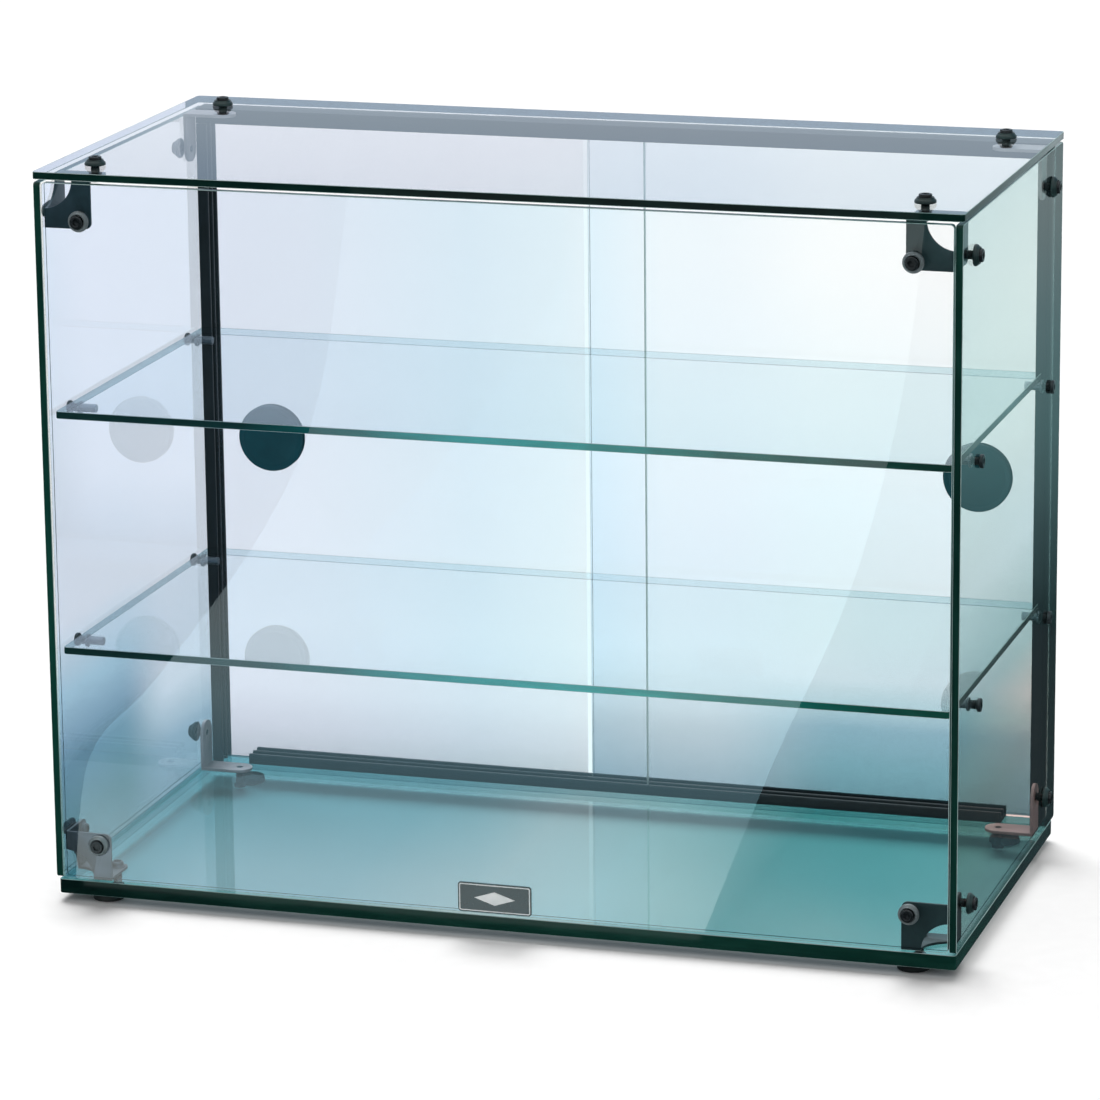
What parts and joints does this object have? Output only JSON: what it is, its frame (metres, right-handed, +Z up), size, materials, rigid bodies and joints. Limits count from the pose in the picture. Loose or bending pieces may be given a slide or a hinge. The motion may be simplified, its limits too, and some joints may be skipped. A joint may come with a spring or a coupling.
{
  "type": "tabletop glass display case",
  "caption": "Countertop glass display case with internal glass shelves and sliding glass doors at the rear, its panes joined by bolted corner brackets.",
  "frame": {"origin": "on the table, under the centre of the whole object's box", "axes": "+X to the case's right seen from the front, +Y to the rear where the sliding doors are, +Z up"},
  "size_m": [0.7632, 0.3794, 0.6094],
  "materials": {
    "pane_glass": "clear float glass, polished edges deep green",
    "shelf_glass": "clear float glass with teal edges",
    "door_glass": "clear float glass, ground edges",
    "corner_steel": "dark satin coated steel plate",
    "strip_steel": "brushed stainless strip",
    "screw_steel": "black socket screw in a satin grey cup washer",
    "pin_steel": "satin steel pin with a dark head",
    "foot_rubber": "matt black moulded rubber",
    "track_plastic": "black extruded plastic, faint draw lines",
    "pull_plastic": "dark moulded plastic, fine turned rings",
    "badge_plastic": "dark plate, blank but for a plain border and a plain lozenge"
  },
  "bodies": {
    "root": {"top_glass": "pane_glass", "base_glass": "pane_glass", "left_side_glass": "pane_glass", "right_side_glass": "pane_glass", "front_glass": "pane_glass", "lower_shelf": "shelf_glass", "upper_shelf": "shelf_glass", "front_bottom_left_bracket": "corner_steel", "front_bottom_right_bracket": "corner_steel", "front_top_left_bracket": "corner_steel", "front_top_right_bracket": "corner_steel", "rear_bottom_left_bracket": "strip_steel", "rear_bottom_right_bracket": "strip_steel", "rear_top_left_bracket": "strip_steel", "rear_top_right_bracket": "strip_steel", "front_left_top_screw": "screw_steel", "front_left_lower_side_screw": "screw_steel", "front_left_upper_side_screw": "screw_steel", "rear_left_top_screw": "screw_steel", "rear_left_lower_side_screw": "screw_steel", "rear_left_upper_side_screw": "screw_steel", "left_lower_front_screw": "screw_steel", "left_upper_front_screw": "screw_steel", "front_right_top_screw": "screw_steel", "front_right_lower_side_screw": "screw_steel", "front_right_upper_side_screw": "screw_steel", "rear_right_top_screw": "screw_steel", "rear_right_lower_side_screw": "screw_steel", "rear_right_upper_side_screw": "screw_steel", "right_lower_front_screw": "screw_steel", "right_upper_front_screw": "screw_steel", "front_left_base_screw": "screw_steel", "front_right_base_screw": "screw_steel", "rear_left_base_screw": "screw_steel", "rear_right_base_screw": "screw_steel", "lower_front_left_shelf_pin": "pin_steel", "lower_front_right_shelf_pin": "pin_steel", "lower_rear_left_shelf_pin": "pin_steel", "lower_rear_right_shelf_pin": "pin_steel", "upper_front_left_shelf_pin": "pin_steel", "upper_front_right_shelf_pin": "pin_steel", "upper_rear_left_shelf_pin": "pin_steel", "upper_rear_right_shelf_pin": "pin_steel", "front_left_foot": "foot_rubber", "front_right_foot": "foot_rubber", "rear_left_foot": "foot_rubber", "rear_right_foot": "foot_rubber", "bottom_track": "track_plastic", "top_track": "track_plastic", "left_post": "track_plastic", "right_post": "track_plastic", "badge_plate": "badge_plastic"},
    "left_door": {"left_door_glass": "door_glass", "left_pull_cup": "pull_plastic", "left_pull_cover": "pull_plastic"},
    "right_door": {"right_door_glass": "door_glass", "right_pull_cup": "pull_plastic", "right_pull_cover": "pull_plastic"}
  },
  "joints": [
    {"name": "left_door_slide", "type": "slide", "parent": "root", "child": "left_door", "axis": [1, 0, 0], "range_m": [0, 0.338]},
    {"name": "right_door_slide", "type": "slide", "parent": "root", "child": "right_door", "axis": [-1, 0, 0], "range_m": [0, 0.338]}
  ]
}
